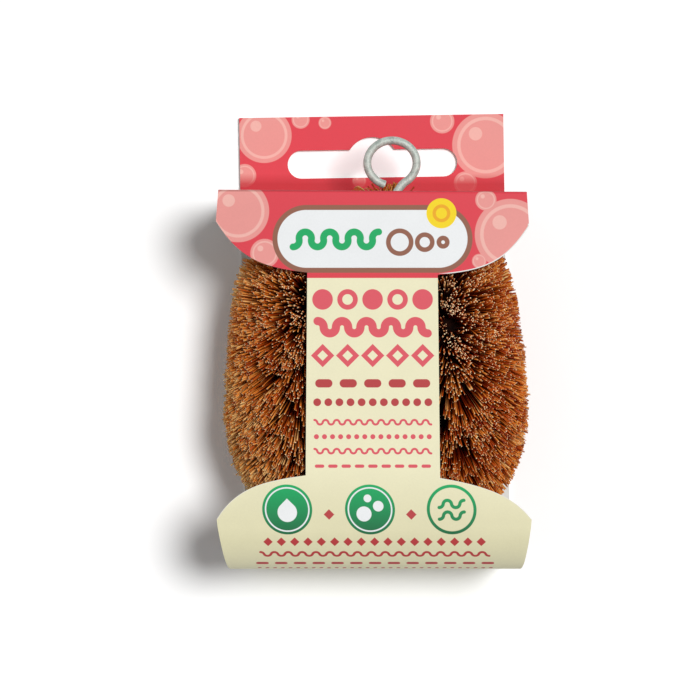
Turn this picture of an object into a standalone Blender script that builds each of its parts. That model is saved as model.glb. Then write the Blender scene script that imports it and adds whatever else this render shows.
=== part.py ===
"""Small coir scrub brush held in a printed card sleeve with a hang tab.

The brush is a twisted pair of galvanised wires that grips coir fibre along its
length. The pair is bent to a horseshoe loop and a third wire ties its two ends
and rises as the hanging ring. A folded card sleeve goes round the loop, and the
ring comes out through a hole in the sleeve's top.

The object lies on the back of its sleeve: X is across, Y runs up towards the
hang tab, Z is towards the printed front. The origin is below the middle of the
whole object, in the plane of its back.
"""

import math

import bmesh
import bpy
import numpy as np
from mathutils import Vector

MM = 0.001

# Fits between pieces
CLEARANCE = 0.3 * MM
WIRE_GAP = 0.45 * MM

# Core loop of twisted wire
LOOP_RADIUS = 13.9 * MM
LIMB_LENGTH = 18.0 * MM
LIMB_LEAN = math.radians(4.0)
LOOP_HEIGHT = 37.3 * MM
LOOP_OFFSET_X = 0.6 * MM
CORE_WIRE_DIAMETER = 1.2 * MM
TWIST_TURNS = 12

# Coir fibre
BRISTLE_REACH = 14.5 * MM
BRISTLE_REACH_AT_NECK = 11.5 * MM
LEFT_TAPER_LENGTH = 16.0 * MM
RIGHT_TAPER_LENGTH = 28.0 * MM
BUNDLES = 12
FACETS_ROUND = 9
ROOT_MASS_SHARE = 0.6
STRAND_ROOT_RADIUS = 0.62 * MM
STRAND_TIP_RADIUS = 0.3 * MM
SHORTEST_STRAND = 0.8 * MM
STRAND_LEAN = 0.04
BEND_SHARE = 0.55

# Tie wire and its hanging ring
RING_WIRE_DIAMETER = 1.5 * MM
RING_OUTER_WIDTH = 10.6 * MM
RING_OUTER_HEIGHT = 9.8 * MM
RING_X = 3.5 * MM
RING_ABOVE_FLAP = 0.95 * MM
RING_CUT_ANGLE = math.radians(15.0)
RING_LEG_ANGLE = math.radians(34.0)
LEG_EASE = 0.8
NECK_LENGTH = 4.2 * MM
NECK_TO_FLAP = 1.8 * MM
TIE_TURNS = 2
TIE_PITCH = 1.9 * MM

# Card sleeve
CARD = 0.4 * MM
LOBE_HALF_WIDTH = 28.2 * MM
LOBE_HALF_WIDTH_AT_FOLD = 27.8 * MM
UPPER_LOBE_SIDE = 5.2 * MM
UPPER_LOBE_CURVE = 10.7 * MM
STRIP_HALF_WIDTH = 12.0 * MM
LOWER_LOBE_TOP = 17.4 * MM
LOWER_LOBE_CURVE = 11.5 * MM
LOWER_LOBE_OVERRUN = 0.8 * MM
FRONT_BEND_RADIUS = 8.0 * MM
BACK_BEND_RADIUS = 6.0 * MM
BACK_HALF_WIDTH = 25.0 * MM
NECK_HOLE_WIDTH = 12.6 * MM
NECK_HOLE_DEPTH = 6.0 * MM
NECK_HOLE_X = 2.2 * MM

# Hang tab, which is two plies of the same card
TAB_HEIGHT = 14.9 * MM
TAB_SKEW = math.radians(0.9)
SLOT_LENGTH = 32.1 * MM
SLOT_WIDTH = 5.3 * MM
SLOT_ABOVE_HINGE = 5.9 * MM
SLOT_HUMP_RADIUS = 5.0 * MM

# Places that follow from the sizes above
PAIR_RADIUS = (CORE_WIRE_DIAMETER + WIRE_GAP) / 2
PAIR_ENVELOPE = PAIR_RADIUS + CORE_WIRE_DIAMETER / 2
BORE_RADIUS = PAIR_ENVELOPE + 2.2 * CLEARANCE
SMALLEST_ROOT_RADIUS = BORE_RADIUS + 2 * CLEARANCE
AXIS_Z = CARD + CLEARANCE + BRISTLE_REACH
SLEEVE_DEPTH = 2 * AXIS_Z
SLEEVE_LENGTH = 2 * CARD + CLEARANCE + BRISTLE_REACH + LOOP_RADIUS + LOOP_HEIGHT + NECK_TO_FLAP
TAB_REACH = CLEARANCE + CARD + TAB_HEIGHT + BACK_HALF_WIDTH * math.tan(TAB_SKEW)
SLEEVE_BOTTOM = -(SLEEVE_LENGTH + TAB_REACH) / 2
SLEEVE_TOP = SLEEVE_BOTTOM + SLEEVE_LENGTH
LOOP_CENTRE_Y = SLEEVE_BOTTOM + CARD + CLEARANCE + BRISTLE_REACH + LOOP_RADIUS
NECK_TOP_Y = LOOP_CENTRE_Y + LOOP_HEIGHT
NECK_FOOT_Y = NECK_TOP_Y - NECK_LENGTH
NECK_HALF_SPACING = PAIR_ENVELOPE + CLEARANCE
RING_HALF_WIDTH = (RING_OUTER_WIDTH - RING_WIRE_DIAMETER) / 2
RING_HALF_HEIGHT = (RING_OUTER_HEIGHT - RING_WIRE_DIAMETER) / 2
RING_Y = SLEEVE_TOP + RING_ABOVE_FLAP + RING_OUTER_HEIGHT / 2
TIE_HALF_WIDTH = NECK_HALF_SPACING + PAIR_ENVELOPE + CLEARANCE + RING_WIRE_DIAMETER / 2
TIE_HALF_DEPTH = PAIR_ENVELOPE + 1.5 * CLEARANCE + RING_WIRE_DIAMETER / 2
HINGE_Y = SLEEVE_TOP + CLEARANCE + CARD
HINGE_Z = CARD

# Fineness of the curved shapes
TRIM_STEP = 0.1 * MM
PATH_SAMPLES = 600
POINTS_PER_TURN = 8
ARC_STEP = math.radians(11.25)
POINTS_PER_LEG = 8


def clear_scene():
    for obj in list(bpy.data.objects):
        bpy.data.objects.remove(obj)


def make_material(name, colour, roughness, metallic=0.0):
    material = bpy.data.materials.new(name)
    material.use_nodes = True
    shader = material.node_tree.nodes["Principled BSDF"]
    shader.inputs["Base Color"].default_value = (*colour, 1.0)
    shader.inputs["Roughness"].default_value = roughness
    shader.inputs["Metallic"].default_value = metallic
    material.diffuse_color = (*colour, 1.0)
    return material


def link_object(name, data, material):
    obj = bpy.data.objects.new(name, data)
    obj.data.materials.append(material)
    bpy.context.scene.collection.objects.link(obj)
    return obj


def mesh_object(name, bm, material):
    bmesh.ops.recalc_face_normals(bm, faces=bm.faces)
    mesh = bpy.data.meshes.new(name)
    bm.to_mesh(mesh)
    bm.free()
    return link_object(name, mesh, material)


def wire_object(name, points, diameter, material, bevel_resolution):
    """A round wire along the points, with closed ends."""
    curve = bpy.data.curves.new(name, "CURVE")
    curve.dimensions = "3D"
    curve.bevel_depth = diameter / 2
    curve.bevel_resolution = bevel_resolution
    curve.use_fill_caps = True
    spline = curve.splines.new("POLY")
    spline.points.add(len(points) - 1)
    for spot, point in zip(spline.points, points):
        spot.co = (*point, 1.0)
    return link_object(name, curve, material)


def hermite(start, start_slope, end, end_slope, count):
    """Points between start and end, without start itself."""
    result = []
    for step in range(1, count + 1):
        t = step / count
        result.append(
            (2 * t**3 - 3 * t**2 + 1) * start
            + (t**3 - 2 * t**2 + t) * start_slope
            + (3 * t**2 - 2 * t**3) * end
            + (t**3 - t**2) * end_slope
        )
    return result


def shoulder(limb_top, neck_foot, slope):
    """The core's bend from the top of a limb in to the foot of the neck, ends included."""
    pull = 1.35 * (neck_foot[1] - limb_top[1])
    return [limb_top, *hermite(limb_top, pull * slope, neck_foot, np.array([0, pull, 0]), 40)]


def least_gap(points, diameter):
    """Least gap between a wire's own turns, measured between its points."""
    points = np.array(points, float)
    run = np.concatenate([[0], np.cumsum(np.linalg.norm(np.diff(points, axis=0), axis=1))])
    apart = np.linalg.norm(points[:, None] - points[None], axis=2)
    near_along = np.abs(run[:, None] - run[None]) < math.pi * diameter
    apart[near_along] = np.inf
    return float(apart.min()) - diameter


class CorePath:
    """Centreline of the twisted pair: neck, left side, bottom, right side, neck."""

    def __init__(self):
        dense = self.outline()
        steps = np.linalg.norm(np.diff(dense, axis=0), axis=1)
        run = np.concatenate([[0], np.cumsum(steps)])
        self.length = float(run[-1])
        self.run = np.linspace(0, self.length, PATH_SAMPLES)
        self.points = np.stack([np.interp(self.run, run, dense[:, i]) for i in range(3)], axis=1)
        slopes = np.gradient(self.points, self.run, axis=0)
        self.slopes = slopes / np.linalg.norm(slopes, axis=1)[:, None]
        self.bends = np.gradient(self.slopes, self.run, axis=0)

    @staticmethod
    def outline():
        rise = np.array([0, NECK_LENGTH, 0])
        left_foot = np.array([RING_X - NECK_HALF_SPACING, NECK_FOOT_Y, AXIS_Z])
        right_foot = np.array([RING_X + NECK_HALF_SPACING, NECK_FOOT_Y, AXIS_Z])
        centre = np.array([LOOP_OFFSET_X, LOOP_CENTRE_Y, AXIS_Z])
        angles = np.linspace(math.pi - LIMB_LEAN, 2 * math.pi + LIMB_LEAN, 120)
        bow = [centre + LOOP_RADIUS * np.array([math.cos(a), math.sin(a), 0]) for a in angles]
        lean_in, upright = math.sin(LIMB_LEAN), math.cos(LIMB_LEAN)
        left_top = bow[0] + LIMB_LENGTH * np.array([lean_in, upright, 0])
        right_top = bow[-1] + LIMB_LENGTH * np.array([-lean_in, upright, 0])
        left = shoulder(left_top, left_foot, np.array([lean_in, upright, 0]))[::-1]
        right = shoulder(right_top, right_foot, np.array([-lean_in, upright, 0]))
        return np.array([left_foot + rise, *left, *bow, *right, right_foot + rise])

    def at(self, run):
        """Point, tangent, outward and front directions at a distance along the path."""
        point = np.array([np.interp(run, self.run, self.points[:, i]) for i in range(3)])
        slope = np.array([np.interp(run, self.run, self.slopes[:, i]) for i in range(3)])
        slope /= np.linalg.norm(slope)
        front = np.array([0.0, 0.0, 1.0])
        outward = np.cross(front, slope)
        return point, slope, -outward, front

    def bend_towards(self, run, direction):
        """Sharpest bend of the core towards a direction, within a row of fibre of a place."""
        near = np.abs(self.run - run) < self.length / (2 * BUNDLES)
        return float((self.bends[near] @ direction).max())

    def others(self, run, span):
        """Points of the path that are more than span away along it."""
        return self.points[np.abs(self.run - run) > span]


def inside_sleeve(point, margin):
    """Whether a point keeps the margin from the inner faces of the card."""
    y, z = point[1], point[2]
    room = CARD + margin
    if not (SLEEVE_BOTTOM + room <= y <= SLEEVE_TOP - room):
        return False
    if not (room <= z <= SLEEVE_DEPTH - room):
        return False
    for radius, centre_z in (
        (BACK_BEND_RADIUS, BACK_BEND_RADIUS),
        (FRONT_BEND_RADIUS, SLEEVE_DEPTH - FRONT_BEND_RADIUS),
    ):
        centre_y = SLEEVE_BOTTOM + radius
        past = z < centre_z if centre_z == BACK_BEND_RADIUS else z > centre_z
        if y < centre_y and past and math.hypot(y - centre_y, z - centre_z) > radius - room:
            return False
    return True


def outside_tie(point, margin):
    """Whether a point keeps the margin from the wire wound round the neck."""
    low = NECK_FOOT_Y - RING_WIRE_DIAMETER - margin
    if point[1] < low:
        return True
    beyond_x = abs(point[0] - RING_X) - (TIE_HALF_WIDTH + RING_WIRE_DIAMETER / 2)
    beyond_z = abs(point[2] - AXIS_Z) - (TIE_HALF_DEPTH + RING_WIRE_DIAMETER / 2)
    return max(beyond_x, beyond_z) > margin


def trim_radius(path, run):
    """How far the fibre is trimmed from the core, shorter where the ends meet."""
    from_end = min(run, path.length - run) - NECK_LENGTH
    taper = LEFT_TAPER_LENGTH if run < path.length / 2 else RIGHT_TAPER_LENGTH
    share = min(1.0, max(0.0, from_end / taper))
    return BRISTLE_REACH_AT_NECK + (BRISTLE_REACH - BRISTLE_REACH_AT_NECK) * share


def free_reach(path, run, direction):
    """Length a fibre can have at a place before it meets card, tie or another side."""
    start = path.at(run)[0]
    others = path.others(run, LOOP_RADIUS)
    reach = BORE_RADIUS
    bend = path.bend_towards(run, direction)
    limit = trim_radius(path, run)
    if bend > 0:
        limit = min(limit, BEND_SHARE / bend)
    while reach + TRIM_STEP <= limit:
        spot = start + (reach + TRIM_STEP) * direction
        nearest = float(np.linalg.norm(others - spot, axis=1).min())
        crowded = reach + TRIM_STEP > nearest - 4 * CLEARANCE
        if crowded or not inside_sleeve(spot, CLEARANCE) or not outside_tie(spot, 3 * CLEARANCE):
            break
        reach += TRIM_STEP
    return reach


def root_ring(bm, path, run, turn):
    """A ring of the packed fibre roots, and the bore that the wires run through."""
    centre, _, outward, front = path.at(run)
    outer, bore = [], []
    for index in range(FACETS_ROUND):
        angle = 2 * math.pi * (index + turn) / FACETS_ROUND
        direction = math.cos(angle) * outward + math.sin(angle) * front
        reach = max(ROOT_MASS_SHARE * free_reach(path, run, direction), SMALLEST_ROOT_RADIUS)
        outer.append(bm.verts.new(centre + reach * direction))
        bore.append(bm.verts.new(centre + BORE_RADIUS * direction))
    return outer, bore


def grow_strand(bm, path, face, run, lean):
    """Extrudes a facet of the root mass to a strand of fibre that points away from the core."""
    centre = np.array(face.calc_center_median())
    start, slope, _, _ = path.at(run)
    direction = centre - start
    direction -= slope * float(np.dot(direction, slope))
    root = float(np.linalg.norm(direction))
    direction /= root
    leaning = direction + lean * STRAND_LEAN * slope
    leaning /= np.linalg.norm(leaning)
    reach = free_reach(path, run, leaning)
    if reach - root < SHORTEST_STRAND:
        return 0
    spokes = [np.array(vert.co) - centre for vert in face.verts]
    spokes = [spoke - direction * float(np.dot(spoke, direction)) for spoke in spokes]
    for distance, radius in ((root, STRAND_ROOT_RADIUS), (reach, STRAND_TIP_RADIUS)):
        face = bmesh.ops.extrude_discrete_faces(bm, faces=[face])["faces"][0]
        for vert, spoke in zip(face.verts, spokes):
            vert.co = Vector(start + distance * leaning + radius * spoke / np.linalg.norm(spoke))
    return 1


def make_bundle(path, index, first, last, material):
    """The fibre held by one turn of the twist: a bored root mass with its strands."""
    bm = bmesh.new()
    middle = (first + last) / 2
    rings = [root_ring(bm, path, run, turn) for run, turn in ((first, 0.0), (middle, 0.5), (last, 1.0))]
    facets = []
    for row, ((outer_a, bore_a), (outer_b, bore_b)) in enumerate(zip(rings, rings[1:])):
        row_start, row_end = (first, middle) if row == 0 else (middle, last)
        third = (row_end - row_start) / 3
        for j in range(FACETS_ROUND):
            k = (j + 1) % FACETS_ROUND
            facets.append((bm.faces.new((outer_a[j], outer_a[k], outer_b[j])), row_start + third))
            facets.append((bm.faces.new((outer_a[k], outer_b[k], outer_b[j])), row_end - third))
            bm.faces.new((bore_a[j], bore_b[j], bore_b[k], bore_a[k]))
    for (outer, bore), flip in ((rings[0], False), (rings[-1], True)):
        for j in range(FACETS_ROUND):
            k = (j + 1) % FACETS_ROUND
            corners = [outer[k], outer[j], bore[j], bore[k]]
            bm.faces.new(corners[::-1] if flip else corners)
    bmesh.ops.recalc_face_normals(bm, faces=bm.faces)
    leans = np.random.default_rng(index).uniform(-1, 1, len(facets))
    strands = 0
    for (face, run), lean in zip(facets, leans):
        strands += grow_strand(bm, path, face, run, lean)
    mesh_object(f"coir_bundle_{index:02d}", bm, material)
    return strands


def first_fibre(path, from_end):
    """Distance from an end of the core at which its two sides leave room for fibre."""
    room = 2 * SMALLEST_ROOT_RADIUS + 2 * CLEARANCE
    for run in path.run:
        place = path.length - run if from_end else run
        point = path.at(place)[0]
        if np.linalg.norm(path.others(place, LOOP_RADIUS) - point, axis=1).min() > room:
            return run
    raise ValueError("the core's sides leave no room for fibre")


def make_bundles(path, material):
    first, last = first_fibre(path, False), path.length - first_fibre(path, True)
    ends = np.linspace(first, last, BUNDLES + 1)
    total = 0
    for index, (start, end) in enumerate(zip(ends, ends[1:]), start=1):
        total += make_bundle(path, index, start + CLEARANCE / 2, end - CLEARANCE / 2, material)
    print("strands of coir:", total)


def make_core_wires(path, material):
    """The two wires, wound round each other along the loop."""
    count = TWIST_TURNS * POINTS_PER_TURN
    for name, phase in (("core_wire_a", 0.0), ("core_wire_b", math.pi)):
        points = []
        for step in range(count + 1):
            run = path.length * step / count
            centre, _, outward, front = path.at(run)
            turn = 2 * math.pi * step / POINTS_PER_TURN + phase
            points.append(centre + PAIR_RADIUS * (math.cos(turn) * outward + math.sin(turn) * front))
        wire_object(name, points, CORE_WIRE_DIAMETER, material, 1)
        print(name, "least gap to itself in mm:", round(least_gap(points, CORE_WIRE_DIAMETER) / MM, 2))


def on_ring(angle):
    """A point of the ring's centreline; the angle runs from its foot, towards +X."""
    x = RING_X + RING_HALF_WIDTH * math.sin(angle)
    return np.array([x, RING_Y - RING_HALF_HEIGHT * math.cos(angle), AXIS_Z])


def on_tie(turn):
    """A point of the oval winding round the neck; turn 0 is its front, going towards -X."""
    angle = 2 * math.pi * turn + math.pi / 2
    x = RING_X + TIE_HALF_WIDTH * math.cos(angle)
    z = AXIS_Z + TIE_HALF_DEPTH * math.sin(angle)
    top = NECK_TOP_Y - RING_WIRE_DIAMETER / 2 - CLEARANCE
    return np.array([x, top - TIE_PITCH * turn, z])


def towards(start, end):
    """The direction from start to end, as a unit vector."""
    return (end - start) / np.linalg.norm(end - start)


def make_hanging_ring(material):
    """One wire: cut end, round the ring, down through the card, twice round the neck."""
    last_on_ring = 2 * math.pi - RING_CUT_ANGLE
    around = np.linspace(RING_LEG_ANGLE, last_on_ring, 33)[::-1]
    ring = [on_ring(angle) for angle in around]
    tie = [on_tie(0.1 + turn) for turn in np.arange(0, TIE_TURNS - 0.05, 0.1)]
    pull = LEG_EASE * np.linalg.norm(tie[0] - ring[-1])
    slopes = pull * towards(ring[-2], ring[-1]), pull * towards(tie[0], tie[1])
    leg = hermite(ring[-1], slopes[0], tie[0], slopes[1], POINTS_PER_LEG)
    points = [*ring, *leg, *tie[1:]]
    wire_object("hanging_ring", points, RING_WIRE_DIAMETER, material, 2)
    print("hanging_ring least gap to itself in mm:", round(least_gap(points, RING_WIRE_DIAMETER) / MM, 2))


def arc(centre_y, centre_z, radius, start, end):
    """Points of an arc in the YZ plane, both ends included."""
    count = max(2, round(abs(end - start) / ARC_STEP))
    angles = np.linspace(start, end, count + 1)
    return [(centre_y + radius * math.cos(a), centre_z + radius * math.sin(a)) for a in angles]


def front_stations():
    """Half-widths of the card down its front, from the top fold to the lower corners."""
    rows = [(SLEEVE_TOP, LOBE_HALF_WIDTH_AT_FOLD)]
    shoulder = SLEEVE_TOP - UPPER_LOBE_SIDE
    steepest = math.acos(STRIP_HALF_WIDTH / LOBE_HALF_WIDTH)
    for angle in np.linspace(0, steepest, 10):
        rows.append((shoulder - UPPER_LOBE_CURVE * math.sin(angle), LOBE_HALF_WIDTH * math.cos(angle)))
    wide = LOBE_HALF_WIDTH + LOWER_LOBE_OVERRUN
    first = math.acos(STRIP_HALF_WIDTH / wide)
    centre = SLEEVE_BOTTOM + LOWER_LOBE_TOP - LOWER_LOBE_CURVE * math.sin(first)
    for angle in np.linspace(first, math.acos(LOBE_HALF_WIDTH / wide), 10):
        rows.append((centre + LOWER_LOBE_CURVE * math.sin(angle), wide * math.cos(angle)))
    return rows


def sleeve_stations():
    """(y, z, half-width) round the whole sleeve, from the top fold down the front and back."""
    front = [(y, SLEEVE_DEPTH, half) for y, half in front_stations()]
    front_z = SLEEVE_DEPTH - FRONT_BEND_RADIUS
    bend = arc(SLEEVE_BOTTOM + FRONT_BEND_RADIUS, front_z, FRONT_BEND_RADIUS, math.pi / 2, math.pi)
    heel = arc(
        SLEEVE_BOTTOM + BACK_BEND_RADIUS, BACK_BEND_RADIUS, BACK_BEND_RADIUS, math.pi, 1.5 * math.pi
    )
    under = bend + heel
    run = np.concatenate([[0], np.cumsum([math.dist(a, b) for a, b in zip(under, under[1:])])])
    tapered = np.interp(run / run[-1], [0, 0.62, 1], [LOBE_HALF_WIDTH, BACK_HALF_WIDTH, BACK_HALF_WIDTH])
    below = [(y, z, half) for (y, z), half in zip(under, tapered)]
    return front + below + [(SLEEVE_TOP, 0.0, BACK_HALF_WIDTH)]


def stadium(half_length, radius, hump=0.0):
    """Outline of a round-ended slot, with an optional round hump on its upper side."""
    straight = half_length - radius
    points = []
    for side, start in ((1, -math.pi / 2), (-1, math.pi / 2)):
        for angle in np.linspace(start, start + math.pi, 9):
            points.append((side * straight + radius * math.cos(angle), radius * math.sin(angle)))
        if side == 1 and hump > radius:
            base = math.asin(radius / hump)
            for angle in np.linspace(base, math.pi - base, 11):
                points.append((hump * math.cos(angle), hump * math.sin(angle)))
    return points


def cutter(name, outline, low, high, place):
    """A hidden prism with the outline, whose corners place() sets from (u, v, level)."""
    bm = bmesh.new()
    ends = [[bm.verts.new(place(u, v, level)) for u, v in outline] for level in (low, high)]
    bm.faces.new(ends[0])
    bm.faces.new(ends[1][::-1])
    for j in range(len(outline)):
        k = (j + 1) % len(outline)
        bm.faces.new((ends[0][j], ends[1][j], ends[1][k], ends[0][k]))
    obj = mesh_object(name, bm, make_material(name, (0.5, 0.5, 0.5), 0.5))
    obj.hide_render = True
    obj.display_type = "WIRE"
    return obj


def cut(obj, tool):
    modifier = obj.modifiers.new(tool.name, "BOOLEAN")
    modifier.operation = "DIFFERENCE"
    modifier.object = tool


def make_card_sleeve(material):
    bm = bmesh.new()
    stations = sleeve_stations()
    rows = [
        (bm.verts.new((-half, y, z)), bm.verts.new((half, y, z))) for y, z, half in stations
    ]
    for (a_left, a_right), (b_left, b_right) in zip(rows, rows[1:] + rows[:1]):
        bm.faces.new((a_left, b_left, b_right, a_right))
    sleeve = mesh_object("card_sleeve", bm, material)
    wall = sleeve.modifiers.new("card", "SOLIDIFY")
    wall.thickness = CARD
    wall.offset = -1.0
    wall.use_even_offset = True
    hole = cutter(
        "neck_hole",
        stadium(NECK_HOLE_WIDTH / 2, NECK_HOLE_DEPTH / 2),
        SLEEVE_TOP - 4 * CARD,
        SLEEVE_TOP + 4 * CARD,
        lambda u, v, level: (NECK_HOLE_X + u, level, AXIS_Z + v),
    )
    cut(sleeve, hole)
    return sleeve


def make_hang_tab(material):
    """Two glued plies of card with the hanging slot; its foot is rounded about the hinge."""
    bm = bmesh.new()
    lean = TAB_HEIGHT * math.tan(TAB_SKEW)
    rise = BACK_HALF_WIDTH * math.tan(TAB_SKEW)
    outline = [
        (-BACK_HALF_WIDTH, -CARD),
        (BACK_HALF_WIDTH, -CARD),
        (BACK_HALF_WIDTH - lean, TAB_HEIGHT + rise),
        (-BACK_HALF_WIDTH - lean, TAB_HEIGHT - rise),
    ]
    levels = [
        [bm.verts.new((x, HINGE_Y + y, HINGE_Z + z)) for x, y in outline] for z in (-CARD, CARD)
    ]
    bm.faces.new(levels[0][::-1])
    bm.faces.new(levels[1])
    for j in range(4):
        k = (j + 1) % 4
        bm.faces.new((levels[0][j], levels[0][k], levels[1][k], levels[1][j]))
    foot = [
        edge
        for edge in bm.edges
        if all(abs(v.co.y - HINGE_Y + CARD) < CARD / 100 for v in edge.verts)
        and edge.calc_length() > BACK_HALF_WIDTH
    ]
    bmesh.ops.bevel(bm, geom=foot, offset=0.98 * CARD, segments=3, affect="EDGES", profile=0.5)
    tab = mesh_object("hang_tab", bm, material)
    turn_c, turn_s = math.cos(TAB_SKEW), math.sin(TAB_SKEW)
    slot = cutter(
        "hang_slot",
        stadium(SLOT_LENGTH / 2, SLOT_WIDTH / 2, SLOT_HUMP_RADIUS),
        -6 * CARD,
        6 * CARD,
        lambda u, v, level: (
            u * turn_c - v * turn_s,
            HINGE_Y + SLOT_ABOVE_HINGE + u * turn_s + v * turn_c,
            HINGE_Z + level,
        ),
    )
    cut(tab, slot)
    return tab


def main():
    clear_scene()
    steel = make_material("galvanised_steel", (0.56, 0.58, 0.57), 0.42, 1.0)
    coir = make_material("coir_fibre", (0.42, 0.20, 0.07), 0.85)
    card = make_material("printed_card", (0.86, 0.83, 0.62), 0.7)
    red_card = make_material("printed_card_red", (0.76, 0.10, 0.13), 0.7)
    path = CorePath()
    make_core_wires(path, steel)
    make_hanging_ring(steel)
    make_bundles(path, coir)
    make_card_sleeve(card)
    make_hang_tab(red_card)


main()
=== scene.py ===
import math

import bpy
import numpy as np
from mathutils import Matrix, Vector


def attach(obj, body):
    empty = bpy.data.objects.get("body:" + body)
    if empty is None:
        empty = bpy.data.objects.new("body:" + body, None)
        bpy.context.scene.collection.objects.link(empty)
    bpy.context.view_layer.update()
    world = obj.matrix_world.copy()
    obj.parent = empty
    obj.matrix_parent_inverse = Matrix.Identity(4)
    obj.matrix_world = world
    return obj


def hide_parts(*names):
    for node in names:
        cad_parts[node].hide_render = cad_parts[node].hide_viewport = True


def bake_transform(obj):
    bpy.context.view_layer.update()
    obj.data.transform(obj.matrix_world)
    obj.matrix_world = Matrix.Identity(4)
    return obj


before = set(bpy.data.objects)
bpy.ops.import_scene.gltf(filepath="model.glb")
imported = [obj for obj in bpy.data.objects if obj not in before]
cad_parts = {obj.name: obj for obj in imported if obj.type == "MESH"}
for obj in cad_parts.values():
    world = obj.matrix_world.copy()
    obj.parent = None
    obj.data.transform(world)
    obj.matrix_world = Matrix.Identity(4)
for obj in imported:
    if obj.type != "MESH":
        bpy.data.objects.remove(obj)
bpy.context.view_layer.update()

# Lengths here are in millimetres; MM turns them into the scene's metres.
MM = 0.001

# Card sleeve and hang tab, with the part's values
CARD = 0.4
SLEEVE_TOP = 26.3
SLEEVE_BOTTOM = -42.3
SLEEVE_DEPTH = 30.4
LOBE_HALF_WIDTH_AT_FOLD = 27.8
STRIP_HALF_WIDTH = 12.0
FRONT_BEND_RADIUS = 8.0
BACK_BEND_RADIUS = 6.0
BACK_HALF_WIDTH = 25.0
FOLD_RADIUS = 0.55
NECK_HOLE_WIDTH = 12.6
NECK_HOLE_DEPTH = 6.0
NECK_HOLE_X = 2.2
HINGE_Y = 27.0
HINGE_Z = 0.4
TAB_HEIGHT = 14.9
TAB_SKEW = math.radians(0.9)
TAB_FOOT_Y = 26.35
SLOT_LENGTH = 32.1
SLOT_WIDTH = 5.3
SLOT_ABOVE_HINGE = 5.9
SLOT_HUMP_RADIUS = 5.0

# What the part keeps plain: the curved edges of the lobes, as the four (x, y) of a cubic, and
# how much lower the cut hangs towards the right, as a slope by height
UPPER_LOBE_EDGE = np.array([(28.2, 20.36), (23.96, 13.56), (19.8, 12.14), (11.75, 11.36)])
LOWER_LOBE_EDGE = np.array([(12.1, -25.2), (20.0, -26.4), (25.0, -27.9), (28.35, -32.9)])
SKEW_HEIGHTS = [-33, -27, 20, 26.3]
SKEWS = [0.0, 0.02, 0.016, 0.007]
# Half-width by distance past the front, round the bend and down the lower wall
WALL_RUNS = [0, 5, 12.6, 24]
WALL_HALF_WIDTHS = [28.2, 27.4, 26.3, 25.0]
# How far the card stands to the right, by its place along the sheet: the back leans like the tab
SHIFT_PLACES = [-135, -72.7, -46.9, -32.9, -25, 11, 26.9, 56]
SHIFTS = [0.0, 1.0, 0.4, 0.1, -0.13, -0.2, -0.2, 0.0]
# How far the free ends of the lobes sag, over this width and these heights from the upper edge
SAG = 0.55
SAG_WIDTH = 16
UPPER_SAG_HEIGHT = 14
LOWER_SAG_HEIGHT = 8
# Rows of points over the crease, then shares of the tab's height
CREASE_ROWS = [TAB_FOOT_Y, 26.55, 26.75, 26.95, 27.15, 27.35, 27.6, 27.9, 28.3]
TAB_SHARES = np.linspace(0.15, 1, 12)

# Twisted core and its fibre, with the part's values, but for longer fibre near the neck
AXIS_Z = 15.2
LOOP_RADIUS = 13.9
LIMB_LENGTH = 18.0
LIMB_LEAN = math.radians(4.0)
SHOULDER_PULL = 1.35
LOOP_OFFSET_X = 0.6
LOOP_CENTRE_Y = -13.2
CORE_WIRE_DIAMETER = 1.2
PAIR_RADIUS = 0.825
TWIST_TURNS = 12
BRISTLE_REACH = 14.5
BRISTLE_REACH_AT_NECK = 12.5
LEFT_TAPER_LENGTH = 10.0
RIGHT_TAPER_LENGTH = 28.0
BUNDLES = 12
ROOM_FOR_FIBRE = 5.97

# Tie wire and its hanging ring, with the part's values
RING_WIRE_DIAMETER = 1.5
RING_X = 3.5
RING_Y = 32.15
RING_HALF_WIDTH = 4.55
RING_HALF_HEIGHT = 4.15
RING_CUT_ANGLE = math.radians(15.0)
CUT_END_SHARE = 0.86
RING_LEG_ANGLE = math.radians(34.0)
LEG_EASE = 0.8
NECK_LENGTH = 4.2
NECK_TOP_Y = 24.1
NECK_FOOT_Y = 19.9
NECK_HALF_SPACING = 1.725
TIE_HALF_WIDTH = 4.2
TIE_HALF_DEPTH = 2.625
TIE_TURNS = 2
TIE_PITCH = 1.9

# How the fibre is drawn
FIBRE_TRIES = 9500
FIBRE_RADIUS = 0.132
FIBRES_PER_TUFT = 11
TUFT_PULL = 0.6
# Of its reach, how much of a fibre's foot is left out, inside the root mass, which is dark as
# painted shade
FOOT_SHARE = 0.42
# How far the tips lean towards the bottom of the loop, by distance along the core from there
LEAN_PLACES = [0, 8, 15, 22, 26, 31, 36, 41, 47, 70]
LEANS = [0.0, 0.26, 0.4, 0.44, 0.42, 0.34, 0.14, -0.06, -0.16, -0.16]
LEAN_CURVE = 1.35
# How much fibres differ in lean: alone, by slow waves and by tufts; a few are looser
LEAN_ALONE = 0.05
LEAN_IN_WAVES = 0.08
LEAN_IN_TUFTS = 0.07
LOOSE_SHARE = 0.05
LOOSE_LEAN = 3.2
# The fibre in front parts to both sides under the card's strip
PARTING = 0.22
# Few fibres stand out from the trimmed surface, by these lengths
PROUD_SHARE = 0.03
PROUD_LENGTHS = (0.1, 0.7)
BOW = 0.448
# How deep the two sides of the loop mingle, and how far fibre reaches over the core's bend
MINGLE = 0.6
MOST_CROSSING = 1.3
# The trimmed surface: where it starts, its steps, and its room from the card and the tie
SHORTEST_REACH = 2.5
REACH_STEP = 0.25
ROOM_FROM_CARD = 0.15
ROOM_FROM_TIE = 0.4
ROOT_MASS_SHARE = 0.5
LEAST_ROOT_MASS = 2.3
# Painted shade: the side that is darker in the photo, right and up, where the fibre's colour is
# darkened
PAINTED_SHADE_SIDE = np.array([0.8, 0.5, 0.0])
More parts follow.
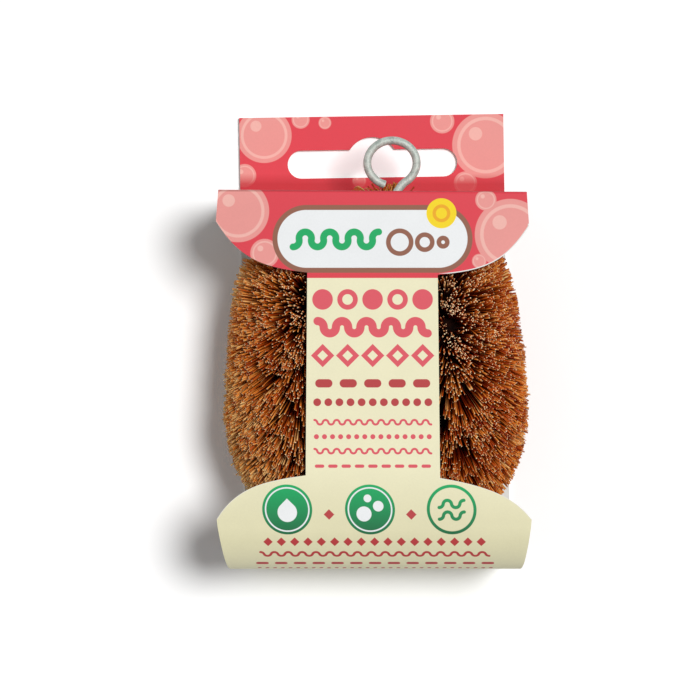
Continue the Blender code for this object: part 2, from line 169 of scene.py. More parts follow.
# Loose fibres at the neck hole: a tuft at the ring's foot, and strays that lie along the fold
WISPS = 46
STRAYS = 9
FRONT = np.array([0.0, 0.0, 1.0])


def linear(red, green, blue):
    """A colour written in 0-255 screen values, as the linear colour that nodes take."""
    return [((value / 255 + 0.055) / 1.055) ** 2.4 for value in (red, green, blue)] + [1.0]


# ---------------- camera, light and floor

VIEW_HEIGHT = 0.6
VIEW_LENS = 162.8
VIEW_CENTRE = (-0.00425, -0.0024)
# Each lamp's name, share of the light, direction and softness
LAMPS = [
    ("key", 0.77, (0.34, 0.17, 1.0), math.radians(19)),
    ("fill", 0.06, (-1.0, 0.1, 1.0), math.radians(60)),
]
SKY_SHARE = 0.2
FLOOR_SIZE = 2.0
FLOOR_DEPTH = 0.0001
FLOOR_GREY = 0.78
FLOOR_WHITE = 1.11


def link_object(name, data, *materials):
    obj = bpy.data.objects.new(name, data)
    bpy.context.scene.collection.objects.link(obj)
    for material in materials:
        data.materials.append(material)
    return obj


def add_camera():
    data = bpy.data.cameras.new("camera")
    data.lens = VIEW_LENS
    data.clip_start = 0.01
    camera = link_object("camera", data)
    camera.location = (*VIEW_CENTRE, VIEW_HEIGHT)
    bpy.context.scene.camera = camera


def seen_as_background(tree):
    """1 for what the camera sees, itself or in a reflection, 0 for light on its way."""
    rays = add_node(tree, "LightPath").outputs
    mirrored = Field(rays["Is Camera Ray"]).math("MAXIMUM", rays["Is Glossy Ray"])
    return mirrored.math("MAXIMUM", rays["Is Transmission Ray"])


def add_light():
    for name, share, source, softness in LAMPS:
        data = bpy.data.lights.new(name, "SUN")
        data.energy = math.pi * share
        data.angle = softness
        lamp = link_object(name, data)
        lamp.rotation_euler = Vector(source).to_track_quat("Z", "Y").to_euler()
    world = bpy.data.worlds.new("studio")
    world.use_nodes = True
    bpy.context.scene.world = world
    tree = world.node_tree
    background = tree.nodes["Background"]
    background.inputs["Color"].default_value = (1, 1, 1, 1)
    strength = seen_as_background(tree) * (1 - SKY_SHARE) + SKY_SHARE
    put(background.inputs["Strength"], strength)


def add_floor():
    material, tree, shader = new_material("floor")
    tree.nodes.remove(shader)
    grey, white = ([value] * 3 + [1] for value in (FLOOR_GREY, FLOOR_WHITE))
    colour = mixed(tree, seen_as_background(tree), grey, white)
    pale = add_node(tree, "BsdfDiffuse", {"Color": colour})
    put(tree.nodes["Material Output"].inputs["Surface"], pale.outputs[0])
    mesh = bpy.data.meshes.new("floor")
    side = FLOOR_SIZE
    corners = [(-side, -side, 0), (side, -side, 0), (side, side, 0), (-side, side, 0)]
    mesh.from_pydata(corners, [], [(0, 1, 2, 3)])
    floor = link_object("floor", mesh, material)
    floor.location.z = -FLOOR_DEPTH


# ---------------- shader arithmetic

def put(slot, value):
    """Sets a node's input, or links it to a field or to another node's output."""
    if isinstance(value, Field):
        value = value.socket
    if isinstance(value, bpy.types.NodeSocket):
        slot.id_data.links.new(value, slot)
    else:
        slot.default_value = value


def add_node(tree, kind, inputs=None, **settings):
    """A shader node with its settings, and its inputs by name or number."""
    node = tree.nodes.new("ShaderNode" + kind)
    for name, value in settings.items():
        setattr(node, name, value)
    for slot, value in (inputs or {}).items():
        put(node.inputs[slot], value)
    return node


class Field:
    """A number worked out at each point of a surface; arithmetic on it adds Math nodes."""

    def __init__(self, socket):
        self.socket = socket

    def math(self, operation, *others, clamp=False):
        inputs = dict(enumerate((self, *others)))
        settings = {"operation": operation, "use_clamp": clamp}
        return Field(add_node(self.socket.id_data, "Math", inputs, **settings).outputs[0])

    def __add__(self, other):
        return self.math("ADD", other)

    def __sub__(self, other):
        return self.math("SUBTRACT", other)

    def __mul__(self, other):
        return self.math("MULTIPLY", other)

    def __abs__(self):
        return self.math("ABSOLUTE")

    def between(self, low, high):
        """0 at low, 1 at high, in a straight line between."""
        return (self - low).math("MULTIPLY", 1 / (high - low), clamp=True)


def mixed(tree, share, first, second, blend="MIX"):
    """The socket of a colour that goes from first to second, or to their product."""
    inputs = {0: share, 6: first, 7: second}
    return add_node(tree, "Mix", inputs, data_type="RGBA", blend_type=blend).outputs[2]


def object_coordinates(tree):
    return add_node(tree, "TexCoord").outputs["Object"]


def noise(tree, scale, detail=3.0, roughness=0.5):
    inputs = {"Scale": scale, "Detail": detail, "Roughness": roughness}
    inputs["Vector"] = object_coordinates(tree)
    return Field(add_node(tree, "TexNoise", inputs).outputs["Fac"])


def bumped(tree, height, distance, strength):
    inputs = {"Strength": strength, "Distance": distance, "Height": height}
    return add_node(tree, "Bump", inputs).outputs["Normal"]


def new_material(name):
    material = bpy.data.materials.new(name)
    material.use_nodes = True
    tree = material.node_tree
    return material, tree, tree.nodes["Principled BSDF"]


def dress(shader, colour, roughness, normal=None, specular=0.5):
    """Gives the shader its colour, gloss and bump."""
    put(shader.inputs["Base Color"], colour)
    put(shader.inputs["Roughness"], roughness)
    put(shader.inputs["Specular IOR Level"], specular)
    if normal:
        put(shader.inputs["Normal"], normal)


def separated(tree, place):
    """The coordinates of a place, as fields."""
    return [Field(output) for output in add_node(tree, "SeparateXYZ", {0: place}).outputs]


# ---------------- printed card

RED = linear(219, 62, 75)
DEEP_RED = linear(190, 34, 46)
PALE_PINK = linear(233, 152, 146)
PINK_LIGHT = linear(241, 182, 172)
CREAM = linear(238, 233, 197)
PAINTED_SHADE_CREAM = linear(150, 140, 60)
# Painted shade: the darker cream the lower lobe turns to towards its bend
PRINT_PINK = linear(220, 86, 98)
BRICK = linear(180, 60, 62)
BROWN = linear(142, 92, 72)
BADGE_WHITE = linear(238, 240, 241)
GREEN = linear(0, 166, 94)
DARK_GREEN = linear(0, 94, 54)
YELLOW = linear(247, 216, 20)
AMBER = linear(238, 170, 24)
BOARD_WHITE = linear(236, 236, 231)
# Painted shade along the fold over the front's top
CREASE_SHADE = linear(112, 44, 40)
PRINT_EDGE = 0.07
BUBBLE_EDGE = 0.12


class Print:
    """A printed sheet: places come from the UV map, in millimetres, and inks go over each other.

    A shape is a Field: how far a place is outside it, or inside it where that is negative.
    """

    def __init__(self, name, paper):
        self.material, self.tree, self.shader = new_material(name)
        self.place = self.map_named("sheet")
        self.u, self.v = separated(self.tree, self.place)[:2]
        self.colour = paper

    def map_named(self, name):
        return add_node(self.tree, "UVMap", uv_map=name).outputs["UV"]

    def vector(self, operation, *places):
        """Vector Math's two outputs; an operation fills one of them."""
        inputs = dict(enumerate(places))
        place, number = add_node(self.tree, "VectorMath", inputs, operation=operation).outputs
        return place, Field(number)

    def disc(self, x, y, radius, place=None):
        return self.vector("DISTANCE", place or self.place, (x, y, 0))[1] - radius

    def ring(self, x, y, radius, half_width):
        return abs(self.disc(x, y, radius)) - half_width

    def from_point(self, x, y, place):
        """How far a place is from a point, along each axis."""
        away = self.vector("SUBTRACT", place or self.place, (x, y, 0))[0]
        return self.vector("ABSOLUTE", away)[0]

    def bar(self, x, y, half_length, radius, place=None):
        """A bar with round ends, half_length from its middle to its end."""
        away = self.from_point(x, y, place)
        past = self.vector("SUBTRACT", away, (half_length - radius, 0, 0))[0]
        return self.vector("LENGTH", self.vector("MAXIMUM", past, (0, 0, 0))[0])[1] - radius

    def diamond(self, x, y, radius, place=None):
        return self.vector("DOT_PRODUCT", self.from_point(x, y, place), (1, 1, 0))[1] - radius

    def drop(self, x, y, radius):
        """A water drop, point up."""
        slant = math.sqrt(0.5) * radius
        point = self.diamond(x, y, 2 * slant).math("MAXIMUM", self.v * -1 + (y + slant))
        return self.disc(x, y, radius).math("MINIMUM", point)

    def joined(self, x, y):
        """Two fields as one place."""
        return add_node(self.tree, "CombineXYZ", {"X": x, "Y": y}).outputs[0]

    def wave(self, x, y, swings, period, height, half_width):
        """A stroke of even width in arcs, over an odd number of half periods, with round ends."""
        quarter = period / 4
        radius = (quarter**2 + height**2) / (2 * height)
        rise = self.v - y
        local = (self.u - x + rise.math("SIGN") * quarter).math("WRAP", 2 * quarter, -2 * quarter)
        away = self.vector("LENGTH", self.joined(local, abs(rise) + (radius - height)))[1]
        line = abs(away - radius) - half_width
        half_length = swings * quarter
        line = line.math("MAXIMUM", abs(self.u - x) - half_length)
        last = height if swings % 4 == 3 else -height
        for side in (-1, 1):
            end = self.disc(x + side * half_length, y + side * last, half_width)
            line = line.math("MINIMUM", end)
        return line

    def repeated(self, pitch, odd_only=False):
        """The place within one of the pitches across the sheet, counted from its middle."""
        step = 2 * pitch if odd_only else pitch
        shifted = self.u - (pitch if odd_only else 0)
        return self.joined(shifted.math("WRAP", step / 2, -step / 2), self.v)

    def row(self, shape, y, size, pitch, count):
        """An odd count of discs, diamonds or bars across the middle of the sheet."""
        distance = shape(self, 0, y, *size, place=self.repeated(pitch))
        return distance.math("MAXIMUM", abs(self.u) - pitch * count / 2)

    def ink(self, distance, colour, soft=PRINT_EDGE, share=1.0):
        mask = (distance * (-1 / soft) + 0.5).math("MULTIPLY", share, clamp=True)
        self.colour = mixed(self.tree, mask.math("MINIMUM", share), self.colour, colour)

    def bubbles(self, places):
        for x, y, radius in places:
            light = self.disc(x - 0.3 * radius, y + 0.34 * radius, 0.2 * radius)
            self.ink(self.disc(x, y, radius), PALE_PINK, BUBBLE_EDGE)
            self.ink(self.ring(x, y, 0.8 * radius, 0.05 * radius), PINK_LIGHT, BUBBLE_EDGE)
            self.ink(light, PINK_LIGHT, BUBBLE_EDGE)

    def finish(self):
        """Board texture under the ink, and a dark line of painted shade along the fold over the
        front's top.
        """
        tree = self.tree
        mottle = noise(tree, 160, 4.0, 0.6)
        fine = noise(tree, 2600, 2.0)
        shade = mottle * 0.10 + fine * 0.06 + 0.92
        grey = add_node(tree, "CombineColor", {0: shade, 1: shade, 2: shade}).outputs[0]
        colour = mixed(tree, 1.0, self.colour, grey, blend="MULTIPLY")
        # Painted shade: the print darkens in a thin line along the fold over the front's top
        crease = abs(self.v - SLEEVE_TOP - 0.05).between(0.3, 0.12) * 0.4
        colour = mixed(tree, crease, colour, CREASE_SHADE)
        gloss = mottle * 0.12 + 0.5
        normal = bumped(tree, fine + mottle * 1.5, 0.00002, 0.5)
        dress(self.shader, colour, gloss, normal, specular=0.28)
        return self.material


# Bubbles on the red card, as (x, y, radius)
FRONT_BUBBLES = [(-24.2, 22.6, 5.6), (-19.4, 15.0, 2.6), (-26.4, 14.6, 1.5)]
FRONT_BUBBLES += [(24.8, 18.4, 6.4), (20.4, 24.6, 1.9), (19.2, 13.6, 1.3)]
ROOF_BUBBLES = [(-12.0, 34.0, 6.0), (14.0, 40.0, 7.5), (-4.0, 46.0, 4.0)]
BACK_BUBBLES = [(-16.0, -127.5, 5.5), (-6.5, -124.0, 2.2), (15.0, -126.0, 6.5), (4.0, -130.5, 3.0)]
TAB_BUBBLES = [(-20.5, 38.2, 5.2), (-13.6, 41.2, 1.7), (-24.2, 30.6, 2.2), (-9.0, 40.6, 1.2)]
TAB_BUBBLES += [(13.2, 40.9, 2.3), (21.4, 36.4, 6.3), (17.6, 29.2, 2.2), (-2.5, 29.6, 1.3)]
# Rows across the sheet: shape, height, sizes, pitch, count and colour
ROWS = [
    (Print.disc, 6.7, [1.85], 4.5, 5, PRINT_PINK),
    (Print.diamond, -3.4, [2.1], 4.5, 5, PRINT_PINK),
    (Print.diamond, -3.4, [0.95], 4.5, 5, CREAM),
    (Print.bar, -8.4, [1.55, 0.75], 4.4, 5, BRICK),
    (Print.disc, -11.8, [0.7], 2.0, 11, BRICK),
    (Print.disc, -18.0, [0.45], 1.45, 15, PRINT_PINK),
    (Print.bar, -23.3, [0.85, 0.3], 2.4, 9, PRINT_PINK),
    (Print.diamond, -37.0, [0.85], 2.4, 17, BRICK),
    (Print.bar, -42.2, [1.15, 0.4], 3.4, 13, BRICK),
    (Print.disc, -44.6, [0.38], 1.4, 31, BRICK),
]
# Waves across the sheet: height, swings, period, height of a swing, half-width and colour
WAVES = [
    (1.7, 9, 4.4, 1.1, 0.75, PRINT_PINK),
    (-15.4, 21, 2.0, 0.4, 0.2, PRINT_PINK),
    (-20.6, 21, 2.0, 0.4, 0.2, PRINT_PINK),
    (-39.6, 33, 2.5, 0.45, 0.24, BRICK),
]
for height in (-108.0, -103.0, -98.0, -93.0):
    WAVES.append((height, 27, 2.4, 0.45, 0.22, PRINT_PINK))
    ROWS.append((Print.disc, height + 2.5, [0.45], 1.8, 19, PRINT_PINK))


def rows_of_shapes(sheet):
    """Plain rows, large to small, where the real card has words."""
    for shape, y, sizes, pitch, count, colour in ROWS:
        sheet.ink(sheet.row(shape, y, sizes, pitch, count), colour)
    for y, swings, period, height, half_width, colour in WAVES:
        sheet.ink(sheet.wave(0, y, swings, period, height, half_width), colour)
    # Every other disc of the top row is a ring.
    holes = sheet.disc(0, 6.7, 0.95, sheet.repeated(4.5, odd_only=True))
    sheet.ink(holes.math("MAXIMUM", abs(sheet.u) - 9.0), CREAM)


def badge(sheet):
    """A white pill with a wave, rings and a yellow disc."""
    sheet.ink(sheet.bar(0, 17.6, 18.0, 6.1), BROWN)
    sheet.ink(sheet.bar(0, 17.6, 17.1, 5.2), BADGE_WHITE)
    sheet.ink(sheet.wave(-6.6, 17.5, 7, 4.4, 1.35, 0.62), GREEN)
    for x, radius in ((4.9, 2.4), (9.4, 1.7), (12.7, 1.1)):
        sheet.ink(sheet.ring(x, 17.0, radius - 0.35, 0.42), BROWN)
    sheet.ink(sheet.disc(12.4, 22.2, 2.7), YELLOW)
    sheet.ink(sheet.ring(12.4, 22.2, 1.3, 0.3), AMBER)


def white_edges(sheet):
    """The cut edge of the board, seen on the right of the upper lobe and along the lower one."""
    from_edge = separated(sheet.tree, sheet.map_named("edge"))[0]
    for across, edge, width, share in (
        (sheet.u, UPPER_LOBE_EDGE, 0.2, 1.0),
        (abs(sheet.u), LOWER_LOBE_EDGE, 0.12, 0.6),
    ):
        high, low = max(edge[:, 1]), min(edge[:, 1])
        line = (from_edge - width).math("MAXIMUM", across * -1 + STRIP_HALF_WIDTH)
        line = line.math("MAXIMUM", abs(sheet.v - (high + low) / 2) - (high - low) / 2)
        sheet.ink(line, BOARD_WHITE, share=share)


def roundels(sheet):
    """Three round badges on the lower lobe: a drop, bubbles and water, with diamonds between."""
    green = mixed(sheet.tree, sheet.v.between(-35.4, -26.8), DARK_GREEN, GREEN)
    for x in (-15.6, -0.7):
        sheet.ink(sheet.disc(x, -31.1, 4.5), green)
        sheet.ink(sheet.ring(x, -31.1, 3.9, 0.13), BADGE_WHITE)
    sheet.ink(sheet.drop(-15.6, -31.6, 1.75), BADGE_WHITE)
    for x, y, radius in ((-1.8, -31.9, 1.35), (0.8, -30.5, 0.95), (-1.1, -29.1, 0.7)):
        sheet.ink(sheet.disc(x, y, radius), BADGE_WHITE)
    sheet.ink(sheet.ring(14.0, -31.1, 4.2, 0.28), green)
    for y in (-30.1, -32.2):
        sheet.ink(sheet.wave(14.0, y, 3, 3.0, 0.65, 0.3), green)
    for x in (-8.1, 6.7):
        sheet.ink(sheet.diamond(x, -32.0, 0.95), BRICK)


def sleeve_print():
    sheet = Print("printed_card", CREAM)
    # Painted shade: the cream darkens down the lower lobe towards the bend, and a little less past
    # it
    bend_shade = sheet.v.between(-24.0, -33.0) * 0.18 - sheet.v.between(-37.0, -42.0) * 0.1
    sheet.colour = mixed(sheet.tree, bend_shade, CREAM, PAINTED_SHADE_CREAM)
    sheet.ink(sheet.v * -1 + 10.56, RED)
    sheet.bubbles(FRONT_BUBBLES + ROOF_BUBBLES)
    badge(sheet)
    roundels(sheet)
    white_edges(sheet)
    rows_of_shapes(sheet)
    back_edge = (sheet.v + 118.0) + (sheet.u * (2 * math.pi / 12)).math("SINE") * 0.7
    sheet.ink(back_edge, RED)
    sheet.ink(abs(back_edge - 1.4) - 0.3, PALE_PINK)
    sheet.bubbles(BACK_BUBBLES)
    return sheet.finish()


def tab_print():
    sheet = Print("printed_tab", RED)
    sheet.bubbles(TAB_BUBBLES)
    sheet.ink(sheet.v - 30.0, DEEP_RED, soft=2.0, share=0.9)
    return sheet.finish()


def plain_board(name, colour, seam=False):
    """Unprinted board; seam is the line between the tab's two plies."""
    material, tree, shader = new_material(name)
    mottle = noise(tree, 220, 5.0, 0.65)
    darker = [value * 0.86 for value in colour[:3]] + [1.0]
    base = mixed(tree, mottle.between(0.3, 0.7), darker, colour)
    if seam:
        height = separated(tree, object_coordinates(tree))[2]
        level = abs(height - HINGE_Z * MM).between(0.00008, 0.00003)
        base = mixed(tree, level, base, linear(150, 140, 126))
    grain = noise(tree, 3000, 2.0)
    dress(shader, base, 0.78, bumped(tree, grain, 0.00002, 0.6))
    return material


# ---------------- meshes

def unit(vectors):
    return vectors / np.linalg.norm(vectors, axis=-1, keepdims=True)


def turned(angle, first, second):
    """Directions at angles from the first direction towards the second."""
    return np.cos(angle)[..., None] * first + np.sin(angle)[..., None] * second


def run_along(points):
    """The distance of each point from the first, along the line through them."""
    steps = np.linalg.norm(np.diff(points, axis=0), axis=1)
    return np.concatenate([[0], np.cumsum(steps)])


def grid_mesh(name, points, maps, closed):
    """A sheet of quads: points are (rows, columns, 3) and each map (rows + closed, columns, 2)."""
    rows, columns = points.shape[:2]
    faces, corners = [], {label: [] for label in maps}
    for i in range(rows - 1 + closed):
        for j in range(columns - 1):
            loop = [(i, j), (i + 1, j), (i + 1, j + 1), (i, j + 1)]
            faces.append([a % rows * columns + b for a, b in loop])
            for label, values in maps.items():
                corners[label] += [values[a, b] for a, b in loop]
    mesh = bpy.data.meshes.new(name)
    mesh.from_pydata((points.reshape(-1, 3) * MM).tolist(), [], faces)
    for label, values in corners.items():
        layer = mesh.uv_layers.new(name=label)
        layer.data.foreach_set("uv", np.array(values, np.float32).ravel())
    return mesh


def side_faces(rings, sides):
    """Ring, side and corners of each face between rings of points."""
    for i in range(rings - 1):
        for j in range(sides):
            k = (j + 1) % sides
            yield i, j, [i * sides + j, i * sides + k, (i + 1) * sides + k, (i + 1) * sides + j]


def closed_mesh(name, rings, inside_out=False):
    """A smooth mesh through rings of points, as (rings, sides, 3) in mm, with a cap on each end."""
    count, sides = rings.shape[:2]
    faces = [list(range(sides))[::-1], list(range((count - 1) * sides, count * sides))]
    faces += [face for _, _, face in side_faces(count, sides)]
    if inside_out:
        faces = [face[::-1] for face in faces]
    mesh = bpy.data.meshes.new(name)
    mesh.from_pydata((rings.reshape(-1, 3) * MM).tolist(), [], faces)
    mesh.shade_smooth()
    return mesh


def prism(name, outline, levels, place, materials):
    """A cutter with the outline at both levels; place() sets a corner from (u, v, level)."""
    rings = np.array([[place(u, v, level) for u, v in outline] for level in levels])
    cutter = link_object(name, closed_mesh(name, rings), *materials)
    for face in cutter.data.polygons:
        face.material_index = len(materials) - 1
    return cutter


def stadium(half_length, radius, hump=0.0):
    """Outline of a round-ended slot, with an optional round hump on its upper side."""
    straight = half_length - radius
    points = []
    for side, start in ((1, -math.pi / 2), (-1, math.pi / 2)):
        for angle in np.linspace(start, start + math.pi, 17):
            points.append((side * straight + radius * math.cos(angle), radius * math.sin(angle)))
        if side == 1 and hump > radius:
            base = math.asin(radius / hump)
            for angle in np.linspace(base, math.pi - base, 21):
                points.append((hump * math.cos(angle), hump * math.sin(angle)))
    return points


def thicken_and_cut(obj, thickness, cutter):
    """Gives a sheet its thickness, cuts the hole and bakes both into the mesh."""
    wall = obj.modifiers.new("card", "SOLIDIFY")
    wall.thickness = thickness * MM
    wall.offset = -1.0
    wall.use_even_offset = True
    wall.material_offset = 1
    wall.material_offset_rim = 2
    hole = obj.modifiers.new("hole", "BOOLEAN")
    hole.operation = "DIFFERENCE"
    hole.solver = "EXACT"
    hole.object = cutter
    graph = bpy.context.evaluated_depsgraph_get()
    mesh = bpy.data.meshes.new_from_object(obj.evaluated_get(graph))
    obj.modifiers.clear()
    obj.data = mesh
    mesh.shade_smooth()
    mesh.set_sharp_from_angle(angle=math.radians(32))
    bpy.data.objects.remove(cutter)


# ---------------- card sleeve and tab

def cubic(points, count):
    """The curve from the first to the last of four points, drawn towards the two between."""
    t = np.linspace(0, 1, count)[:, None]
    first, second, third, last = points
    near, far = (1 - t) ** 3 * first, t**3 * last
    return near + 3 * t * (1 - t) ** 2 * second + 3 * t**2 * (1 - t) * third + far


def front_stations():
    """(y, half-width) down the front, from the top fold to the lower corners."""
    fold = np.array([LOBE_HALF_WIDTH_AT_FOLD, SLEEVE_TOP - FOLD_RADIUS])
    side = [fold + (UPPER_LOBE_EDGE[0] - fold) * share for share in (0, 0.33, 0.66)]
    strip = np.linspace(UPPER_LOBE_EDGE[-1], LOWER_LOBE_EDGE[0], 14)[1:-1]
    edge = np.vstack([side, cubic(UPPER_LOBE_EDGE, 30), strip, cubic(LOWER_LOBE_EDGE, 30)])
    return [(y, half) for half, y in edge]


def arc(centre_y, centre_z, radius, start, end, count):
    angles = np.linspace(start, end, count + 1)
    return [(centre_y + radius * math.cos(a), centre_z + radius * math.sin(a)) for a in angles]


def sleeve_stations():
    """(y, z, half-width) round the whole sleeve, and the place of each along the sheet."""
    top, bottom, fold = SLEEVE_TOP, SLEEVE_BOTTOM, FOLD_RADIUS
    roof = [(top, z) for z in np.linspace(fold, SLEEVE_DEPTH - fold, 12)]
    over = arc(top - fold, SLEEVE_DEPTH - fold, fold, 0, math.pi / 2, 5)[1:-1]
    front = front_stations()
    front_z = SLEEVE_DEPTH - FRONT_BEND_RADIUS
    bend = arc(bottom + FRONT_BEND_RADIUS, front_z, FRONT_BEND_RADIUS, math.pi / 2, math.pi, 20)
    wall = [(bottom, z) for z in np.linspace(front_z, BACK_BEND_RADIUS, 6)[1:-1]]
    radius = BACK_BEND_RADIUS
    heel = arc(bottom + radius, radius, radius, math.pi, 1.5 * math.pi, 16)
    back = [(y, 0.0) for y in np.linspace(bottom + BACK_BEND_RADIUS, top - fold, 16)[1:]]
    under_back = arc(top - fold, fold, fold, -math.pi / 2, 0, 5)[1:]
    under = bend + wall + heel
    run = run_along(under)
    tapered = np.interp(run, WALL_RUNS, WALL_HALF_WIDTHS)
    rows = []
    wider = LOBE_HALF_WIDTH_AT_FOLD - BACK_HALF_WIDTH
    for y, z in roof + over:
        rows.append((y, z, BACK_HALF_WIDTH + wider * z / SLEEVE_DEPTH))
    rows += [(y, SLEEVE_DEPTH, half) for y, half in front]
    rows += [(y, z, half) for (y, z), half in zip(under, tapered)]
    rows += [(y, z, BACK_HALF_WIDTH) for y, z in back + under_back]
    along = run_along([row[:2] for row in rows])
    at_fold = len(roof + over)
    sheet_v = rows[at_fold][0] + along[at_fold] - along
    return rows, sheet_v


def curl(x, y, z):
    """How far the free ends of the two lobes sag from the flat front, in mm."""
    past = np.clip((np.abs(x) - STRIP_HALF_WIDTH) / SAG_WIDTH, 0, 1)
    upper = np.clip((SLEEVE_TOP - y) / UPPER_SAG_HEIGHT, 0, 1)
    lower = np.clip((y - (SLEEVE_BOTTOM + FRONT_BEND_RADIUS)) / LOWER_SAG_HEIGHT, 0, 1)
    on_front = z > SLEEVE_DEPTH - 0.01
    return np.where(on_front, SAG * past**2 * np.where(y > 0, upper, lower), 0)


def make_sleeve(materials):
    rows, sheet_v = sleeve_stations()
    across = np.linspace(-1, 1, 33)
    points = np.array([[(half * t, y, z) for t in across] for y, z, half in rows])
    points[..., 2] -= curl(points[..., 0], points[..., 1], points[..., 2])
    # The print stays level, so the sheet's map gives way by as much as the cut hangs.
    slope = np.interp(points[..., 1], SKEW_HEIGHTS, SKEWS)
    hang = slope * points[..., 0] * points[..., 2] / SLEEVE_DEPTH
    sheet = np.stack([points[..., 0], sheet_v[:, None] - hang], axis=2)
    points[..., 1] -= hang
    points[..., 0] += np.interp(sheet_v, SHIFT_PLACES, SHIFTS)[:, None]
    half = np.array([row[2] for row in rows])
    slant = np.hypot(1, np.gradient(half, sheet_v))
    from_edge = half[:, None] * (1 - np.abs(across)) / slant[:, None]
    maps = {"sheet": sheet, "edge": np.stack([from_edge, 0 * from_edge], axis=2)}
    # The last row joins the first one under the roof, so the last point is left to the first.
    mesh = grid_mesh("sleeve_card", points[:-1], maps, True)
    sleeve = link_object("sleeve_card", mesh, *materials)
    hole = prism(
        "neck_hole",
        stadium(NECK_HOLE_WIDTH / 2, NECK_HOLE_DEPTH / 2),
        (SLEEVE_TOP + 2, SLEEVE_TOP - 2),
        lambda u, v, level: (NECK_HOLE_X + u, level, AXIS_Z + v),
        materials,
    )
    thicken_and_cut(sleeve, CARD, hole)
    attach(sleeve, "sleeved_brush")
    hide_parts("card_sleeve")


def make_tab(materials):
    """Two glued plies with the slot; the foot runs on to the sleeve, so the crease stays whole."""
    lean = math.tan(TAB_SKEW)
    across = np.linspace(-1, 1, 25)
    shares = np.concatenate([(np.array(CREASE_ROWS) - HINGE_Y) / TAB_HEIGHT, TAB_SHARES])[:, None]
    up = np.maximum(shares, 0.0)
    x = BACK_HALF_WIDTH * across - up * TAB_HEIGHT * lean
    y = HINGE_Y + shares * TAB_HEIGHT + up * BACK_HALF_WIDTH * lean * across
    points = np.stack([x, y, np.full_like(x, 2 * CARD)], axis=2)
    mesh = grid_mesh("tab_card", points[::-1], {"sheet": points[::-1, :, :2]}, False)
    tab = link_object("tab_card", mesh, *materials)
    turn_c, turn_s = math.cos(TAB_SKEW), math.sin(TAB_SKEW)
    slot_y = HINGE_Y + SLOT_ABOVE_HINGE
    slot = prism(
        "hang_slot",
        stadium(SLOT_LENGTH / 2, SLOT_WIDTH / 2, SLOT_HUMP_RADIUS),
        (-2, 3),
        lambda u, v, level: (u * turn_c - v * turn_s, slot_y + u * turn_s + v * turn_c, level),
        materials,
    )
    thicken_and_cut(tab, 2 * CARD, slot)
    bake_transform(tab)
    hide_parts("hang_tab")


# ---------------- core wire and ring

def hermite(start, start_slope, end, end_slope, count):
    """Points between start and end, without start itself."""
    t = np.arange(1, count + 1)[:, None] / count
    return (
        (2 * t**3 - 3 * t**2 + 1) * start
        + (t**3 - 2 * t**2 + t) * start_slope
        + (3 * t**2 - 2 * t**3) * end
        + (t**3 - t**2) * end_slope
    )


class CorePath:
    """Centreline of the twisted pair: neck, left side, bottom, right side, neck."""

    def __init__(self):
        rise = np.array([0, NECK_LENGTH, 0])
        spacing = NECK_HALF_SPACING
        feet = [np.array([RING_X + x, NECK_FOOT_Y, AXIS_Z]) for x in (-spacing, spacing)]
        centre = np.array([LOOP_OFFSET_X, LOOP_CENTRE_Y, AXIS_Z])
        angles = np.linspace(math.pi - LIMB_LEAN, 2 * math.pi + LIMB_LEAN, 120)
        round_loop = np.column_stack([np.cos(angles), np.sin(angles), 0 * angles])
        bow = centre + LOOP_RADIUS * round_loop
        sides = []
        for foot, end, turn in ((feet[0], bow[0], 1), (feet[1], bow[-1], -1)):
            slope = np.array([turn * math.sin(LIMB_LEAN), math.cos(LIMB_LEAN), 0])
            top = end + LIMB_LENGTH * slope
            pull = SHOULDER_PULL * (foot[1] - top[1])
            bend = hermite(top, pull * slope, foot, np.array([0, pull, 0]), 40)
            sides.append(np.vstack([[top], bend, [foot + rise]]))
        dense = np.vstack([sides[0][::-1], bow, sides[1]])
        run = run_along(dense)
        self.length = float(run[-1])
        self.run = np.linspace(0, self.length, 600)
        self.points = np.stack([np.interp(self.run, run, dense[:, i]) for i in range(3)], axis=1)
        self.slopes = unit(np.gradient(self.points, self.run, axis=0))
        self.bends = np.gradient(self.slopes, self.run, axis=0)

    def first_fibre(self):
        """Distance from the core's start at which its two sides leave room for fibre."""
        for run, point in zip(self.run, self.points):
            others = self.points[np.abs(self.run - run) > LOOP_RADIUS]
            if np.linalg.norm(others - point, axis=1).min() > ROOM_FOR_FIBRE:
                return run

    def at(self, run):
        """Points, tangents, outward directions and bends at distances along the path."""
        point, slope, bend = (
            np.stack([np.interp(run, self.run, rows[:, i]) for i in range(3)], axis=-1)
            for rows in (self.points, self.slopes, self.bends)
        )
        slope = unit(slope)
        outward = np.stack([slope[..., 1], -slope[..., 0], 0 * slope[..., 0]], axis=-1)
        return point, slope, outward, bend


def tube_mesh(name, points, radii, sides):
    """A round closed tube along the points, in mm."""
    slopes = unit(np.gradient(points, axis=0))
    normal = np.cross(slopes[0], [0.3, 0.2, 1.0])
    angles = 2 * math.pi * np.arange(sides) / sides
    rings = []
    for point, slope, radius in zip(points, slopes, np.broadcast_to(radii, len(points))):
        normal = unit(normal - slope * float(normal @ slope))
        rings.append(point + radius * turned(angles, normal, np.cross(slope, normal)))
    mesh = closed_mesh(name, np.array(rings))
    mesh.set_sharp_from_angle(angle=math.radians(50))
    return mesh


def steel_material():
    """Dull zinc coating, in soft patches of lighter and darker grey."""
    material, tree, shader = new_material("galvanised_steel")
    patches = noise(tree, 700, 4.0, 0.6)
    fine = noise(tree, 4200, 2.0)
    grain = patches * 0.6 + fine * 0.4
    base = mixed(tree, grain.between(0.36, 0.64), linear(144, 156, 149), linear(198, 207, 199))
    shader.inputs["Metallic"].default_value = 0.3
    normal = bumped(tree, patches * 2.0 + fine, 0.00006, 0.8)
    dress(shader, base, patches * 0.25 + 0.45, normal)
    return material


